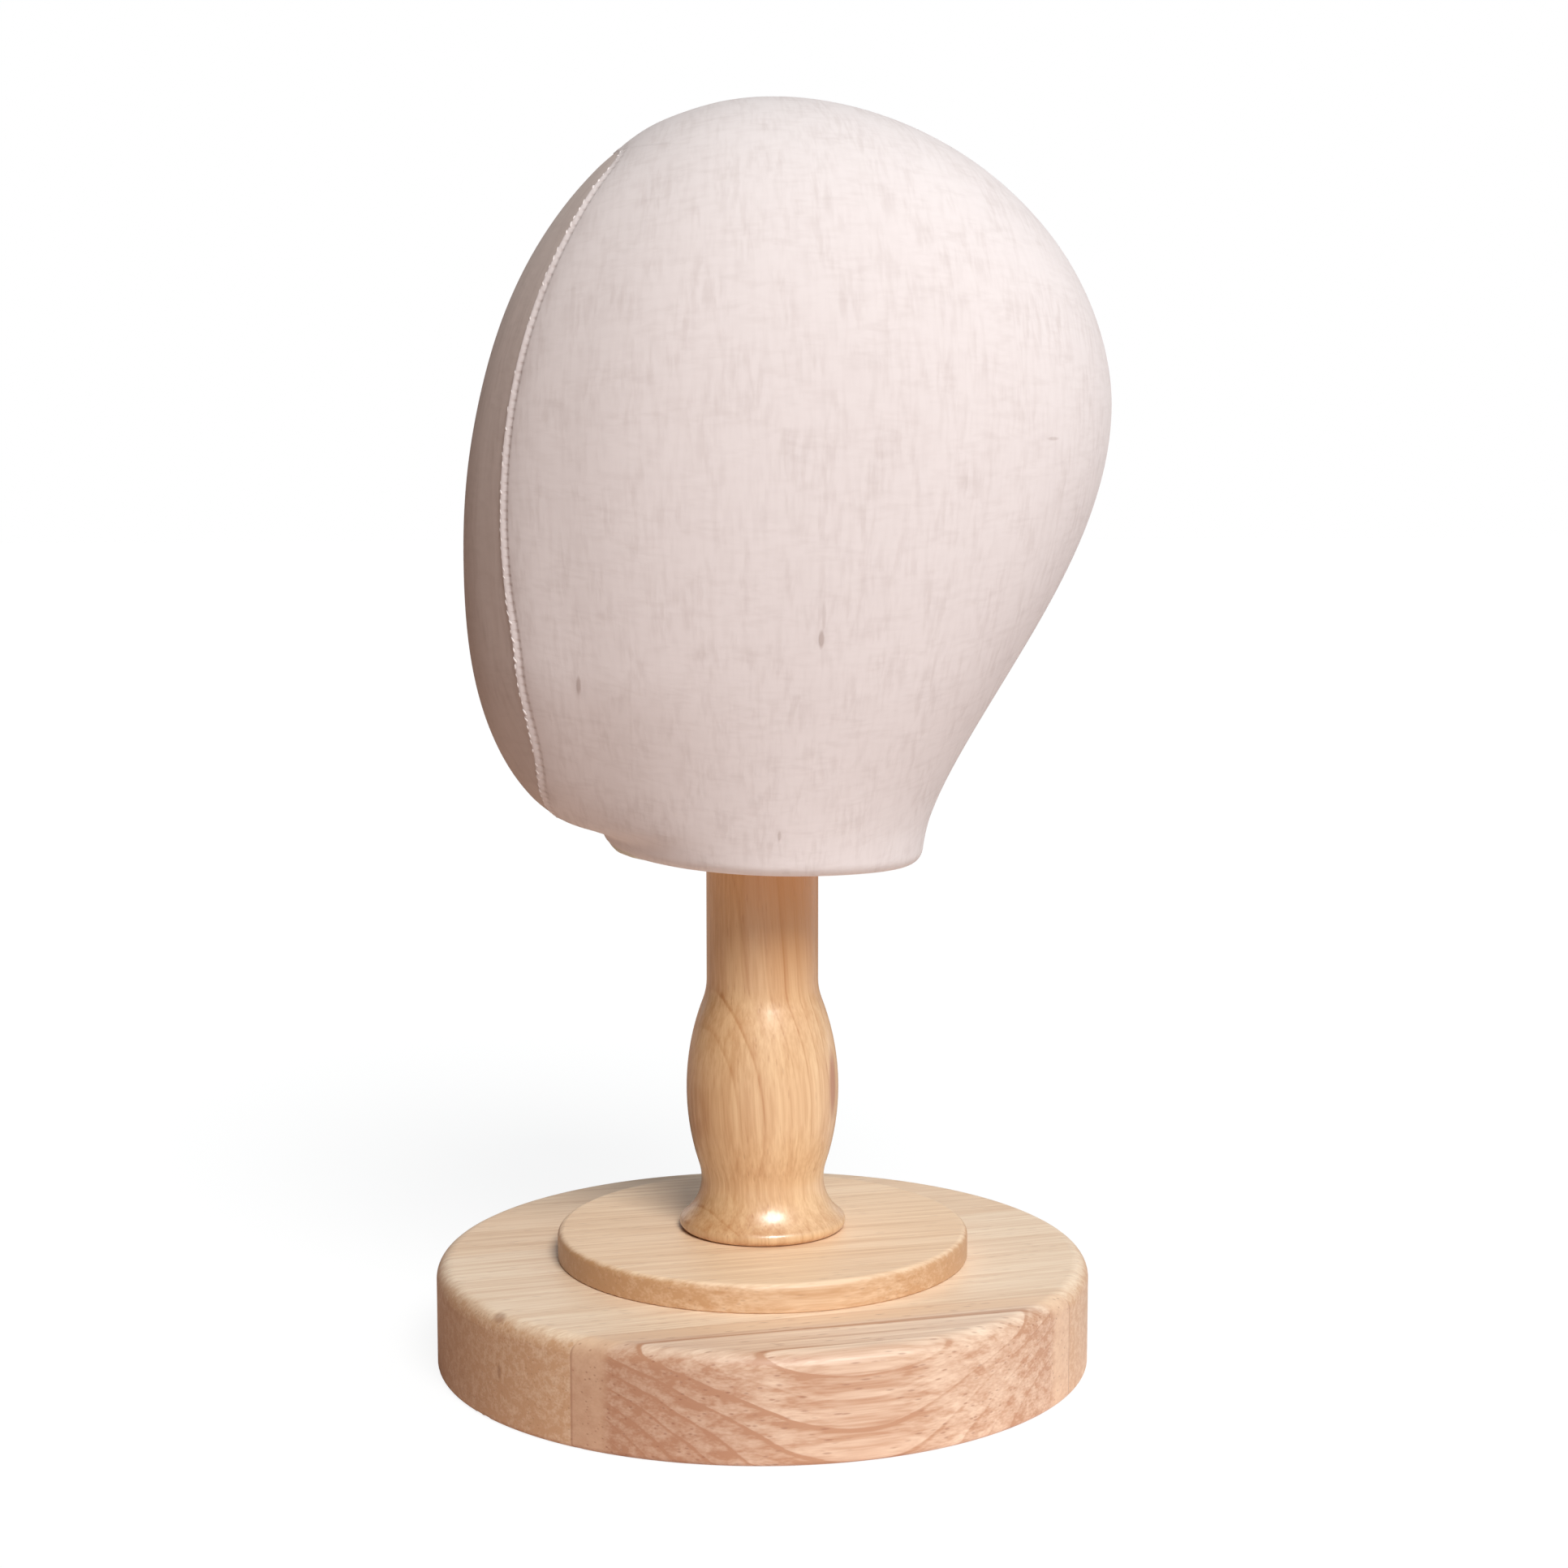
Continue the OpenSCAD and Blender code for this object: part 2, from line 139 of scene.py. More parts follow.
def make_wood_grain():
    """Growth rings round a pith on the Z axis, with fibres and pores that run along it.
    A year's ring is its slowly darker late wood and the narrow dark line that ends it."""
    slow_waves = (24.0, 24.0, 5.0)
    faded_patches = (22.0, 22.0, 9.0)
    coarse_fibres = (520.0, 520.0, 14.0)
    fine_fibres = (1700.0, 1700.0, 50.0)
    wide_bands = (300.0, 300.0, 5.0)
    pore_cells = (640.0, 640.0, 110.0)
    porous_patches = (60.0, 60.0, 14.0)
    mottled_patches = (34.0, 34.0, 7.0)
    late_start = 0.1
    late_full = 0.9
    line_start = 0.80
    line_full = 0.91
    line_end = 0.93
    line_share = 0.6
    faintest_ring = 0.15
    coarse_share = 0.55
    tree, given, result = new_group(
        "wood grain",
        {
            "Place": "NodeSocketVector",
            "Ring Width": "NodeSocketFloat",
            "Ring Start": "NodeSocketFloat",
            "First Year": "NodeSocketFloat",
            "Waver": "NodeSocketFloat",
        },
        ["Rings", "Fibres", "Bands", "Pores", "Mottle"],
    )
    place = given["Place"]
    amount = put(tree, "ShaderNodeCombineXYZ", {0: given["Waver"], 1: given["Waver"]}).outputs[0]
    sway = vectors(tree, "MULTIPLY", drift(tree, place, slow_waves, 4.0), amount)
    wavered = vectors(tree, "ADD", place, sway)
    radius = measure(tree, "LENGTH", vectors(tree, "MULTIPLY", wavered, (1.0, 1.0, 0.0)))
    grown = reckon(tree, "SUBTRACT", radius, given["Ring Start"])
    count = reckon(tree, "DIVIDE", grown, given["Ring Width"])
    part = reckon(tree, "FRACT", count)
    year = reckon(tree, "ADD", reckon(tree, "FLOOR", count), given["First Year"])
    strength = put(tree, "ShaderNodeTexWhiteNoise", {"W": year}, noise_dimensions="1D").outputs["Value"]
    ended = ramp(tree, part, line_end, 1.0, 1.0, 0.0)
    line = reckon(tree, "MULTIPLY", ramp(tree, part, line_start, line_full), ended)
    late = reckon(tree, "MULTIPLY", ramp(tree, part, late_start, late_full), ended)
    ring = reckon(tree, "MULTIPLY_ADD", line, line_share, reckon(tree, "MULTIPLY", late, 1 - line_share))
    weight = reckon(tree, "MULTIPLY_ADD", strength, 1 - faintest_ring, faintest_ring)
    shown = ramp(tree, streaks(tree, place, faded_patches), 0.36, 0.6, 0.35, 1.0)
    tree.links.new(reckon(tree, "MULTIPLY", reckon(tree, "MULTIPLY", ring, weight), shown), result["Rings"])
    coarse = ramp(tree, streaks(tree, place, coarse_fibres), 0.28, 0.72)
    fine = ramp(tree, streaks(tree, place, fine_fibres), 0.28, 0.72)
    coarse_part = reckon(tree, "MULTIPLY", coarse, coarse_share)
    fibres = reckon(tree, "MULTIPLY_ADD", fine, 1 - coarse_share, coarse_part)
    tree.links.new(fibres, result["Fibres"])
    tree.links.new(ramp(tree, streaks(tree, place, wide_bands), 0.46, 0.66), result["Bands"])
    cells = vectors(tree, "MULTIPLY", place, pore_cells)
    pore = put(tree, "ShaderNodeTexVoronoi", {"Vector": cells, "Scale": 1.0}).outputs["Distance"]
    porous = ramp(tree, streaks(tree, place, porous_patches), 0.32, 0.52)
    tree.links.new(reckon(tree, "MULTIPLY", ramp(tree, pore, 0.07, 0.25, 1.0, 0.0), porous), result["Pores"])
    tree.links.new(streaks(tree, place, mottled_patches), result["Mottle"])
    return tree


wood_grain = make_wood_grain()


def wood(name, pith, trunk, ring_width, pale, dark, pore, ring_share, pore_share, roughness, coat,
         coat_roughness, ring_start=0.0, first_year=0.0, waver=0.006, band_share=0.15, rim=0.0,
         gloss=0.5, marks=(), sapwood=None):
    """Lacquered wood cut from a trunk whose pith runs through a point in the direction trunk.
    It is darker where its fibres end. Faces that do not look up, as a turned rim, are darkened by rim, a
    painted shade.
    Marks are spots of another colour, each a centre, a reach, a share and a colour, for stains and for
    painted shade. Sapwood lies along a glue line."""
    fibre_share = 0.5
    mottle_share = 0.35
    mottle_middle = 0.17
    end_grain = 0.3
    sap_waver = 0.004
    sap_fade = 0.003
    sap_dark_share = 0.5
    glue_w = 0.0007
    sheen_spread = 0.06
    ridge_share = 0.3
    pore_depth = 0.0003
    material, tree, shader, place = new_material(name)
    turn = Vector(trunk).to_track_quat("Z", "X").to_euler()
    inputs = {"Vector": place, "Location": pith, "Rotation": turn}
    own = put(tree, "ShaderNodeMapping", inputs, vector_type="TEXTURE").outputs[0]
    inputs = {
        "Place": own,
        "Ring Width": ring_width,
        "Ring Start": ring_start,
        "First Year": first_year,
        "Waver": waver,
    }
    grain = put(tree, "ShaderNodeGroup", inputs, node_tree=wood_grain).outputs
    mottle = reckon(tree, "MULTIPLY_ADD", grain["Mottle"], mottle_share, -mottle_middle)
    tone = reckon(tree, "MULTIPLY_ADD", grain["Fibres"], fibre_share, mottle)
    tone = reckon(tree, "MULTIPLY_ADD", grain["Bands"], band_share, tone)
    tone = reckon(tree, "MULTIPLY_ADD", grain["Rings"], ring_share, tone)
    facing = put(tree, "ShaderNodeTexCoord").outputs["Normal"]
    end_on = reckon(tree, "ABSOLUTE", measure(tree, "DOT_PRODUCT", facing, Vector(trunk).normalized()))
    tone = reckon(tree, "ADD", tone, ramp(tree, end_on, 0.25, 0.95, 0.0, end_grain))
    level = measure(tree, "DOT_PRODUCT", facing, (0.0, 0.0, 1.0))
    # Painted shade: faces that do not look up are made darker by rim.
    tone = reckon(tree, "ADD", tone, ramp(tree, level, 0.4, 1.0, rim, 0.0))
    colour = mixed(tree, tone, (*pale, 1.0), (*dark, 1.0))
    if sapwood:
        across, line, width, sap_colour = sapwood
        past = reckon(tree, "SUBTRACT", measure(tree, "DOT_PRODUCT", place, across), line)
        uneven = reckon(tree, "MULTIPLY_ADD", grain["Mottle"], sap_waver, past)
        sap_tone = reckon(tree, "SUBTRACT", tone, reckon(tree, "MULTIPLY", grain["Rings"], ring_share))
        sap_share = reckon(tree, "MULTIPLY", sap_tone, sap_dark_share)
        sap = mixed(tree, sap_share, (*sap_colour, 1.0), (*dark, 1.0))
        colour = mixed(tree, ramp(tree, uneven, width, width + sap_fade, 1.0, 0.0), colour, sap)
        line_share = ramp(tree, level, 0.2, 0.8, 0.5, 0.0)
        glued = reckon(tree, "MULTIPLY", ramp(tree, past, 0.0001, glue_w, 1.0, 0.0), line_share)
        colour = mixed(tree, glued, colour, (*pore, 1.0))
    colour = mixed(tree, reckon(tree, "MULTIPLY", grain["Pores"], pore_share), colour, (*pore, 1.0))
    for centre, reach, share, stain_and_shade_colour in marks:
        mark = reckon(tree, "MULTIPLY", spot(tree, place, centre, reach), share)
        colour = mixed(tree, mark, colour, (*stain_and_shade_colour, 1.0))
    tree.links.new(colour, shader.inputs["Base Color"])
    sheen = ramp(tree, grain["Fibres"], 0.3, 0.7, roughness - sheen_spread, roughness + sheen_spread)
    tree.links.new(sheen, shader.inputs["Roughness"])
    ridges = reckon(tree, "MULTIPLY", grain["Fibres"], ridge_share)
    height = reckon(tree, "MULTIPLY_ADD", grain["Pores"], -1.0, ridges)
    bump = put(tree, "ShaderNodeBump", {"Height": height, "Strength": 0.2, "Distance": pore_depth})
    tree.links.new(bump.outputs[0], shader.inputs["Normal"])
    shader.inputs["Specular IOR Level"].default_value = gloss
    shader.inputs["Coat Weight"].default_value = coat
    shader.inputs["Coat Roughness"].default_value = coat_roughness
    return material


def finish_node(name, material):
    """Gives a solid its material."""
    nodes[name].data.materials.clear()
    nodes[name].data.materials.append(material)


def on_board(across, along, z):
    """A point or direction of the base, given across and along its boards."""
    return Matrix.Rotation(board_turn, 3, "Z") @ Vector((across, along, z))


pale_wood_pore = (0.30, 0.13, 0.07)
# rim is the painted shade on the boards' faces that do not look up.
satin = {"roughness": 0.6, "coat": 0.9, "coat_roughness": 0.46, "rim": 0.3}
finish_node("base_front_board", wood(
    "pinkish base wood",
    pith=on_board(0.0576, 0.0, -0.0104),
    trunk=on_board(0.0, -1.0, 0.0),
    ring_width=0.00387,
    ring_start=0.001,
    first_year=1131.0,
    pale=(0.97, 0.765, 0.59),
    dark=(0.52, 0.27, 0.155),
    pore=(0.30, 0.11, 0.055),
    ring_share=0.8,
    pore_share=0.5,
    band_share=0.26,
    marks=((on_board(0.0785, -0.062, 0.008), (0.055, 0.055, 0.034), 0.3, (0.32, 0.11, 0.05)),),
    sapwood=(on_board(1.0, 0.0, 0.0), front_glue_line, sapwood_w, (0.88, 0.63, 0.43)),
    **satin,
))
finish_node("base_middle_board", wood(
    "pale base wood, middle",
    pith=on_board(-0.13, 0.0, 0.03),
    trunk=on_board(0.03, -1.0, 0.02),
    ring_width=0.0045,
    pale=(0.99, 0.80, 0.605),
    dark=(0.62, 0.36, 0.20),
    pore=pale_wood_pore,
    ring_share=0.14,
    pore_share=0.3,
    marks=(
        ((0.0562, -0.0803, 0.031), (0.004, 0.003, 0.002), 0.5, pale_wood_pore),
        ((0.0592, -0.0806, 0.016), (0.0012, 0.0012, 0.003), 0.5, pale_wood_pore),
    ),
    **satin,
))
finish_node("base_rear_board", wood(
    "pale base wood, rear",
    pith=on_board(0.10, 0.0, -0.05),
    trunk=on_board(-0.02, -1.0, 0.03),
    ring_width=0.005,
    pale=(0.93, 0.70, 0.50),
    dark=(0.60, 0.35, 0.19),
    pore=pale_wood_pore,
    ring_share=0.16,
    pore_share=0.3,
    **satin,
))


# Plinth disc: a thin turned disc of the same pale wood, between the base and the stem.
# It is glued on the base with its grain along the boards, and the bolt goes through its middle.
finish_node("plinth_disc", wood(
    "pale disc wood",
    pith=on_board(-0.10, 0.0, 0.09),
    trunk=on_board(-0.03, -1.0, 0.01),
    ring_width=0.0042,
    pale=(0.98, 0.735, 0.51),
    dark=(0.60, 0.33, 0.16),
    pore=pale_wood_pore,
    ring_share=0.14,
    pore_share=0.25,
    # The disc's rim gets a deeper painted shade.
    **dict(satin, rim=0.45),
))


# Stem: one piece of rubberwood, turned to a flared foot, a bulb and a plain upper end.
# It is finished with a thicker gloss lacquer, and shows a thread of red heartwood on the bulb's right. Its
# upper end is painted deep orange-brown, a painted shade of the head above it.
finish_node("stem", wood(
    "glossy stem wood",
    pith=(-0.02, 0.045, 0.0),
    trunk=(0.03, -0.06, 1.0),
    ring_width=0.0042,
    waver=0.005,
    pale=(0.84, 0.56, 0.31),
    dark=(0.50, 0.22, 0.075),
    pore=(0.36, 0.12, 0.045),
    ring_share=0.6,
    pore_share=0.25,
    marks=(
        ((0.0106, 0.0205, 0.0872), (0.005, 0.0020, 0.015), 0.85, (0.38, 0.11, 0.025)),
        # Painted shade: the upper end under the head is coloured deep orange-brown.
        ((0.004, 0.012, 0.165), (0.05, 0.034, 0.066), 0.95, (0.58, 0.23, 0.032)),
    ),
    roughness=0.5,
    coat=1.0,
    coat_roughness=0.22,
    gloss=0.9,
))


# Fixing: a threaded brass insert in the stem's foot, and a steel bolt and washer from below.
# All three are bought parts, and they sit in the counterbore under the base.
def metal(name, colour, roughness):
    """Metal with fine tool marks and faint tarnish."""
    tarnish_shade = 0.72
    material, tree, shader, place = new_material(name)
    marks = streaks(tree, place, (900.0, 900.0, 5000.0))
    tarnish = ramp(tree, streaks(tree, place, (260.0, 260.0, 260.0)), 0.35, 0.7)
    worn = [tarnish_shade * part for part in colour]
    tree.links.new(mixed(tree, tarnish, (*colour, 1.0), (*worn, 1.0)), shader.inputs["Base Color"])
    scratched = ramp(tree, marks, 0.3, 0.7, roughness - 0.08, roughness + 0.1)
    tree.links.new(scratched, shader.inputs["Roughness"])
    shader.inputs["Metallic"].default_value = 1.0
    return material


steel = metal("zinc-plated steel", (0.60, 0.61, 0.63), 0.35)
finish_node("base_bolt", steel)
finish_node("bolt_washer", steel)
finish_node("stem_insert", metal("turned brass", (0.72, 0.55, 0.25), 0.3))


# Neck bush: a moulded plastic tube with a closed end, pressed into the foam.
# It turns and slides on the stem's upper end.
def moulded_plastic():
    """Slightly cloudy plastic with the fine pits of its mould."""
    material, tree, shader, place = new_material("moulded bush plastic")
    cloud = streaks(tree, place, (120.0, 120.0, 40.0))
    colour = mixed(tree, cloud, (0.52, 0.45, 0.34, 1.0), (0.62, 0.55, 0.44, 1.0))
    tree.links.new(colour, shader.inputs["Base Color"])
    pitted = streaks(tree, place, (1800.0, 1800.0, 1800.0))
    tree.links.new(ramp(tree, pitted, 0.3, 0.7, 0.42, 0.58), shader.inputs["Roughness"])
    bump = put(tree, "ShaderNodeBump", {"Height": pitted, "Strength": 0.15, "Distance": 0.0001})
    tree.links.new(bump.outputs[0], shader.inputs["Normal"])
    return material


finish_node("neck_bush", moulded_plastic())


# Foam core: a block of rigid moulded foam that gives the head its shape, under the linen.
# The socket in its neck holds the bush.
def foam():
    """Foam of small fused beads, sunk a little between them, with painted shade in the dips."""
    material, tree, shader, place = new_material("rigid foam")
    beads = put(tree, "ShaderNodeTexVoronoi", {"Vector": place, "Scale": 330.0}).outputs["Distance"]
    # Painted shade: the bead edges, where the foam sinks, are darker.
    colour = mixed(tree, beads, (0.86, 0.83, 0.75, 1.0), (0.66, 0.62, 0.53, 1.0))
    tree.links.new(colour, shader.inputs["Base Color"])
    shader.inputs["Roughness"].default_value = 0.9
    bump = put(tree, "ShaderNodeBump", {"Height": beads, "Strength": 0.4, "Distance": -0.0005})
    tree.links.new(bump.outputs[0], shader.inputs["Normal"])
    return material


finish_node("head_core", foam())


# Side panels: two mirrored pieces of unbleached linen, stretched over the foam.
# They are sewn to each other over the crown, down the back and under the chin, and to the face panel,
# where the folded seam allowance lies under them and is stitched down beside the seam.
seam_gap = 0.0003
solid_edge = 0.005
front_edge = 0.0068
side_edge = 0.0033
rear_edge = 0.0035
neck_lean = 0.042
neck_lean_h = 0.012
temple_rise = 0.1285
face_rise = 0.0865
back_rise = 0.1345
crown_back = 0.0035
chin_root = 0.0435
chin_rise = 0.0075
neck_blend = 0.060
chin_fade = 2.0
chin_bridge = 0.005
chin_middle_ease = 0.7
bridge_neck_share = 0.9
bridge_steps = (-1, -0.6, -0.2, 0.2, 0.6, 1)
brow_square = 2.12
nape_square = 1.9
chin_square = 2.26
temple_square = 2.2
ring_square = 2.2
nape_ease = 0.847
cheek_ease = 0.65
face_taper = 0.07
side_low, side_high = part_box("side_panel_left")
face_low, face_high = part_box("face_panel")
neck_z = side_low.z
crown_z = side_high.z
half_w = side_high.x - seam_gap / 2
back_reach = side_high.y
face_reach = -face_low.y
neck_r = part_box("neck_patch")[1].x + seam_gap + solid_edge
temple_z = neck_z + temple_rise
face_z = neck_z + face_rise
back_z = neck_z + back_rise
chin_z = neck_z + chin_rise


def quarter(t, square):
    """Height of a superellipse's quarter at t, from 1 at 0 to 0 at 1."""
    return max(0.0, 1 - min(1.0, max(0.0, t)) ** square) ** (1 / square)


def s_curve(t, ease=1.0):
    """An S-curve from 0 to 1, steeper at its start when ease is below 1."""
    u = min(1.0, max(0.0, t)) ** ease
    return u * u * (3 - 2 * u)


def signed_power(value, power):
    """A power of a value that keeps its sign."""
    return math.copysign(abs(value) ** power, value)


def neck_reach(z, edge):
    """The neck's radius, drawn in by the round of its lower edge."""
    below = max(0.0, neck_z + edge - z)
    return neck_r - edge + math.sqrt(max(0.0, edge ** 2 - below ** 2))


def front_reach(z):
    """How far the head reaches towards the face at a height."""
    if z > face_z:
        swell = quarter((z - face_z) / (crown_z - face_z), brow_square)
        return (face_reach + crown_back) * swell - crown_back
    if z > chin_z:
        swell = quarter((face_z - z) / (face_z - chin_z), chin_square)
        return max(neck_reach(z, front_edge), chin_root + (face_reach - chin_root) * swell)
    return neck_reach(z, front_edge)


def rear_reach(z):
    """How far the head reaches towards the back at a height."""
    if z > back_z:
        swell = quarter((z - back_z) / (crown_z - back_z), nape_square)
        return (back_reach - crown_back) * swell + crown_back
    grown = s_curve((z - neck_z) / back_rise, nape_ease)
    return neck_reach(z, rear_edge) + (back_reach - neck_r) * grown


def side_reach(z):
    """Half the head's width at a height."""
    if z > temple_z:
        return half_w * quarter((z - temple_z) / (crown_z - temple_z), temple_square)
    grown = s_curve((z - neck_z) / temple_rise, cheek_ease)
    return neck_reach(z, side_edge) + (half_w - neck_r) * grown


def bridged_front(z, along):
    """The front's reach where the cloth bridges the corner under the chin, less so in the middle."""
    span = min(chin_bridge * (1 - chin_middle_ease * along), bridge_neck_share * (z - neck_z))
    if z > chin_z + 2 * chin_bridge or span <= 0:
        return front_reach(z)
    return sum(front_reach(z + span * step) for step in bridge_steps) / len(bridge_steps)


def head_point(angle, z):
    """A point on the head, at an angle counted from the face towards the left side.
    The neck's underside is higher in front than behind."""
    grown = s_curve((z - neck_z) / neck_blend)
    power = 2 / (2 + (ring_square - 2) * grown)
    across = signed_power(math.sin(angle), power)
    along = signed_power(math.cos(angle), power)
    back = crown_back * s_curve((z - temple_z) / (crown_z - temple_z))
    if along > 0:
        neck = neck_reach(z, front_edge)
        half = neck + (bridged_front(z, along) + back - neck) * along ** (chin_fade * (1 - grown))
    else:
        half = rear_reach(z) - back
    x = side_reach(z) * across * (1 - face_taper * grown * along)
    y = back - half * along
    return Vector((x, y, z - neck_lean * y * (1 - s_curve((z - neck_z) / neck_lean_h))))


def outward(angle, z):
    """The direction away from the head at one of its points."""
    step = 0.0003
    spread = 0.005
    least_area = 1e-12
    along = head_point(angle + spread, z) - head_point(angle - spread, z)
    rise = head_point(angle, z + step) - head_point(angle, z - step)
    across = along.cross(rise)
    return across.normalized() if across.length > least_area else Vector((0, 0, 1))


panel_w = 0.085
panel_rise = 0.075
panel_top_square = 3.65
panel_foot_square = 1.81
panel_foot_z = face_low.z - seam_gap
panel_top_z = face_high.z + seam_gap
panel_wide_z = neck_z + panel_rise


def seam_angle(z):
    """The angle of the face panel's edge at a height, or 0 above and below the panel."""
    if z > panel_wide_z:
        swell = quarter((z - panel_wide_z) / (panel_top_z - panel_wide_z), panel_top_square)
    else:
        swell = quarter((panel_wide_z - z) / (panel_wide_z - panel_foot_z), panel_foot_square)
    if swell == 0:
        return 0.0
    return math.asin(min(1.0, panel_w / 2 * swell / side_reach(z)) ** (ring_square / 2))


def between(low, high, steps, closer="both"):
    """Values from low up to, and without, high, that lie closer together at one end or at both."""
    turns = {"both": lambda t: (1 - math.cos(math.pi * t)) / 2,
             "low": lambda t: 1 - math.cos(math.pi / 2 * t)}
    return [low + (high - low) * turns[closer](step / steps) for step in range(steps)]


# The seam round the face panel, as points with the length of seam up to each
seam_steps = 700
seam_line = [head_point(seam_angle(z), z) for z in between(panel_foot_z, panel_top_z, seam_steps)]
seam_line.append(head_point(0.0, panel_top_z))
seam_runs = [0.0]
for first, second in zip(seam_line, seam_line[1:]):
    seam_runs.append(seam_runs[-1] + (second - first).length)
seam_tree = kdtree.KDTree(2 * len(seam_line))
for number, point in enumerate(seam_line):
    seam_tree.insert(point, number)
    seam_tree.insert(Vector((-point.x, point.y, point.z)), number)
seam_tree.balance()

linen_t = 0.0012
fold_rise = 0.0015
fold_fade = 0.026
fold_roll = 0.0009
fold_tuck = 0.0006
end_fold_share = 0.15
end_tuck_share = 0.3
seam_end = 0.016
crown_fold_rise = 0.0010
crown_fold_rise_h = 0.011
crown_fold_reach = 0.03
ridge_line = 0.0010
ridge_rise = 0.0004
ridge_spread = 0.0009
dent_line = 0.0028
dent_sink = 0.00025
dent_spread = 0.0007
stitch_pitch = 0.0026
plain_seam_w = 0.0009
plain_seam_sink = 0.0006
foam_swell = 0.00025
foam_waves = 26.0
same_point = 1e-6


def from_ends(z):
    """0 at the upper and lower ends of the face panel, and 1 away from them."""
    return s_curve((z - panel_foot_z) / seam_end) * s_curve((panel_top_z - z) / seam_end)


def side_lift(distance, z):
    """How far a side panel stands off the foam at a distance from the face seam."""
    folded = fold_rise * (1 - s_curve(distance / fold_fade))
    rolled = -fold_tuck * (1 - s_curve(distance / fold_roll))
    ridged = ridge_rise * math.exp(-((distance - ridge_line) / ridge_spread) ** 2)
    sewn = -dent_sink * math.exp(-((distance - dent_line) / dent_spread) ** 2)
    inner = from_ends(z)
    fold_share = end_fold_share + (1 - end_fold_share) * inner
    tuck_share = end_tuck_share + (1 - end_tuck_share) * inner
    return (folded + ridged + sewn) * fold_share + rolled * tuck_share


def crown_lift(point):
    """How far the allowances bunched above the face panel's top end lift the side panels."""
    if point.z < panel_top_z or point.y > 0:
        return 0.0
    along = (point - seam_line[-1]).length / crown_fold_reach
    risen = s_curve((point.z - panel_top_z) / crown_fold_rise_h)
    return crown_fold_rise * risen * (1 - s_curve(along))


def plain_seam_lift(point):
    """How far the cloth sinks into a plain seam, away from the ends of the face panel."""
    to_end = min((point - seam_line[0]).length, (point - seam_line[-1]).length)
    return -plain_seam_sink * math.exp(-(point.x / plain_seam_w) ** 2) * s_curve(to_end / seam_end)


def foam_lift(point):
    """The slight unevenness of the foam under the cloth."""
    return foam_swell * noise.noise(point * foam_waves)


def laid_flat(out, along, up):
    """Where a point of the head lies on flat cloth that is stretched over it from a panel's middle."""
    turn = math.atan2(math.hypot(along, up), out)
    return Vector((along, up)) * (turn / math.sin(turn) if turn > 0 else 1.0)


def cloth_panel(columns, heights, angles, lift, flat_place):
    """A stretched panel: a grid whose rows lie round the head at the given heights.
    Its map is in metres on the flat cloth."""
    bm = bmesh.new()
    to_seam = bm.verts.layers.float.new("to_seam")
    along_seam = bm.verts.layers.float.new("along_seam")
    rows = len(heights) - 1
    bmesh.ops.create_grid(bm, x_segments=columns, y_segments=rows, size=0.5)
    grid = [[None] * (columns + 1) for _ in heights]
    for vert in bm.verts:
        grid[round((vert.co.y + 0.5) * rows)][round((vert.co.x + 0.5) * columns)] = vert
    away = {}
    for z, row in zip(heights, grid):
        for angle, vert in zip(angles(z), row):
            vert.co = head_point(angle, z)
            away[vert] = outward(angle, z)
    cloth_map = bm.loops.layers.uv.new("cloth")
    for face in bm.faces:
        face.smooth = True
        for loop in face.loops:
            loop[cloth_map].uv = flat_place(loop.vert.co)
    raised = []
    for vert in bm.verts:
        _, number, distance = seam_tree.find(vert.co)
        vert[to_seam] = distance
        vert[along_seam] = seam_runs[number]
        raised.append(vert.co + away[vert] * (lift(vert.co, distance) + foam_lift(vert.co)))
    for vert, place in zip(bm.verts, raised):
        vert.co = place
    bmesh.ops.remove_doubles(bm, verts=bm.verts, dist=same_point)
    bm.normal_update()
    return bm


def add_piece(name, bm, material, body):
    """Makes a finished mesh a piece of the object."""
    mesh = bpy.data.meshes.new(name)
    bm.to_mesh(mesh)
    bm.free()
    mesh.materials.append(material)
    piece = bpy.data.objects.new(name, mesh)
    bpy.context.scene.collection.objects.link(piece)
    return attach(piece, body)


def thicken(piece):
    """Gives a panel the cloth's thickness, inwards."""
    wall = piece.modifiers.new("cloth thickness", "SOLIDIFY")
    wall.thickness = linen_t
    wall.offset = -1.0
    return piece


